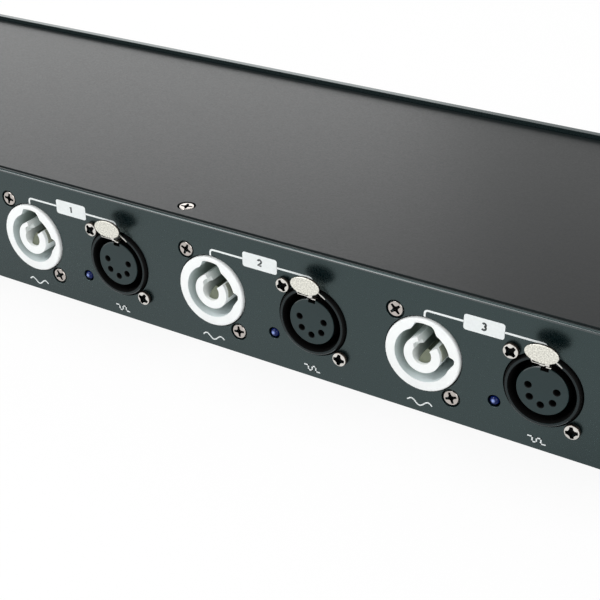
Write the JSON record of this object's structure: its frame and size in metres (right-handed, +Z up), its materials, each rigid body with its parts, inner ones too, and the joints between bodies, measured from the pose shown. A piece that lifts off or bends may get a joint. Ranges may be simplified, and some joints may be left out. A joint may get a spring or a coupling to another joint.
{
  "type": "lighting control splitter",
  "caption": "Flat rack-mount box that shares mains power and a lighting control line out to pairs of power and signal sockets, with a rack panel and rocker switch on the other side.",
  "frame": {"origin": "middle of the part's box in plan, on the surface that the case stands on", "axes": "+X along the connector face, to the right as seen from in front of the connectors; +Y from the connector face towards the rack panel; +Z up"},
  "size_m": [0.4826, 0.138, 0.0437],
  "materials": {
    "panel_coat": "semi-gloss dark powder coat on steel sheet",
    "cover_coat": "satin dark powder coat on steel sheet",
    "outlet_plastic": "white moulded plastic, satin",
    "inlet_plastic": "blue moulded plastic, satin",
    "black_shell": "black coated die-cast metal",
    "insert": "dark moulded plastic",
    "nickel": "nickel-plated steel",
    "lamp": "clear blue moulded lens",
    "black_plastic": "black moulded plastic",
    "board": "green circuit board with its parts",
    "lead": "black cable jacket"
  },
  "bodies": {
    "case": {"chassis_tray": "panel_coat", "top_cover": "cover_coat", "front_panel": "panel_coat", "cover_screw_left": "nickel", "cover_screw_middle": "nickel", "cover_screw_right": "nickel", "panel_screw_upper_left": "nickel", "panel_screw_upper_right": "nickel", "panel_screw_lower_left": "nickel", "panel_screw_lower_right": "nickel", "power_in": "inlet_plastic", "power_in_screw_1": "nickel", "power_in_screw_2": "nickel", "dmx_in": "black_shell", "dmx_in_pins": "insert", "dmx_in_screw_1": "nickel", "dmx_in_screw_2": "nickel", "power_out_1": "outlet_plastic", "power_out_1_screw_1": "nickel", "power_out_1_screw_2": "nickel", "dmx_out_1": "black_shell", "dmx_out_1_insert": "insert", "dmx_out_1_screw_1": "nickel", "dmx_out_1_screw_2": "nickel", "lamp_1": "lamp", "power_out_2": "outlet_plastic", "power_out_2_screw_1": "nickel", "power_out_2_screw_2": "nickel", "dmx_out_2": "black_shell", "dmx_out_2_insert": "insert", "dmx_out_2_screw_1": "nickel", "dmx_out_2_screw_2": "nickel", "lamp_2": "lamp", "power_out_3": "outlet_plastic", "power_out_3_screw_1": "nickel", "power_out_3_screw_2": "nickel", "dmx_out_3": "black_shell", "dmx_out_3_insert": "insert", "dmx_out_3_screw_1": "nickel", "dmx_out_3_screw_2": "nickel", "lamp_3": "lamp", "power_out_4": "outlet_plastic", "power_out_4_screw_1": "nickel", "power_out_4_screw_2": "nickel", "dmx_out_4": "black_shell", "dmx_out_4_insert": "insert", "dmx_out_4_screw_1": "nickel", "dmx_out_4_screw_2": "nickel", "lamp_4": "lamp", "power_lamp": "lamp", "switch_housing": "black_plastic", "main_board": "board", "power_supply": "board", "mains_lead": "lead", "supply_lead": "lead"},
    "latch_1": {"dmx_out_1_latch": "nickel"},
    "latch_2": {"dmx_out_2_latch": "nickel"},
    "latch_3": {"dmx_out_3_latch": "nickel"},
    "latch_4": {"dmx_out_4_latch": "nickel"},
    "rocker": {"switch_rocker": "black_plastic"}
  },
  "joints": [
    {"name": "latch_1_press", "type": "hinge", "parent": "case", "child": "latch_1", "pos_m": [-0.022, -0.05904, 0.02975], "axis": [-1, 0, 0], "range_deg": [0, 8], "stiffness_Nm_per_rad": 0.1, "springref_deg": -2.86},
    {"name": "latch_2_press", "type": "hinge", "parent": "case", "child": "latch_2", "pos_m": [0.0509, -0.05904, 0.02975], "axis": [-1, 0, 0], "range_deg": [0, 8], "stiffness_Nm_per_rad": 0.1, "springref_deg": -2.86},
    {"name": "latch_3_press", "type": "hinge", "parent": "case", "child": "latch_3", "pos_m": [0.1238, -0.05904, 0.02975], "axis": [-1, 0, 0], "range_deg": [0, 8], "stiffness_Nm_per_rad": 0.1, "springref_deg": -2.86},
    {"name": "latch_4_press", "type": "hinge", "parent": "case", "child": "latch_4", "pos_m": [0.1967, -0.05904, 0.02975], "axis": [-1, 0, 0], "range_deg": [0, 8], "stiffness_Nm_per_rad": 0.1, "springref_deg": -2.86},
    {"name": "switch_rock", "type": "hinge", "parent": "case", "child": "rocker", "pos_m": [-0.188, 0.06346, 0.02183], "axis": [1, 0, 0], "range_deg": [0, 20]}
  ]
}
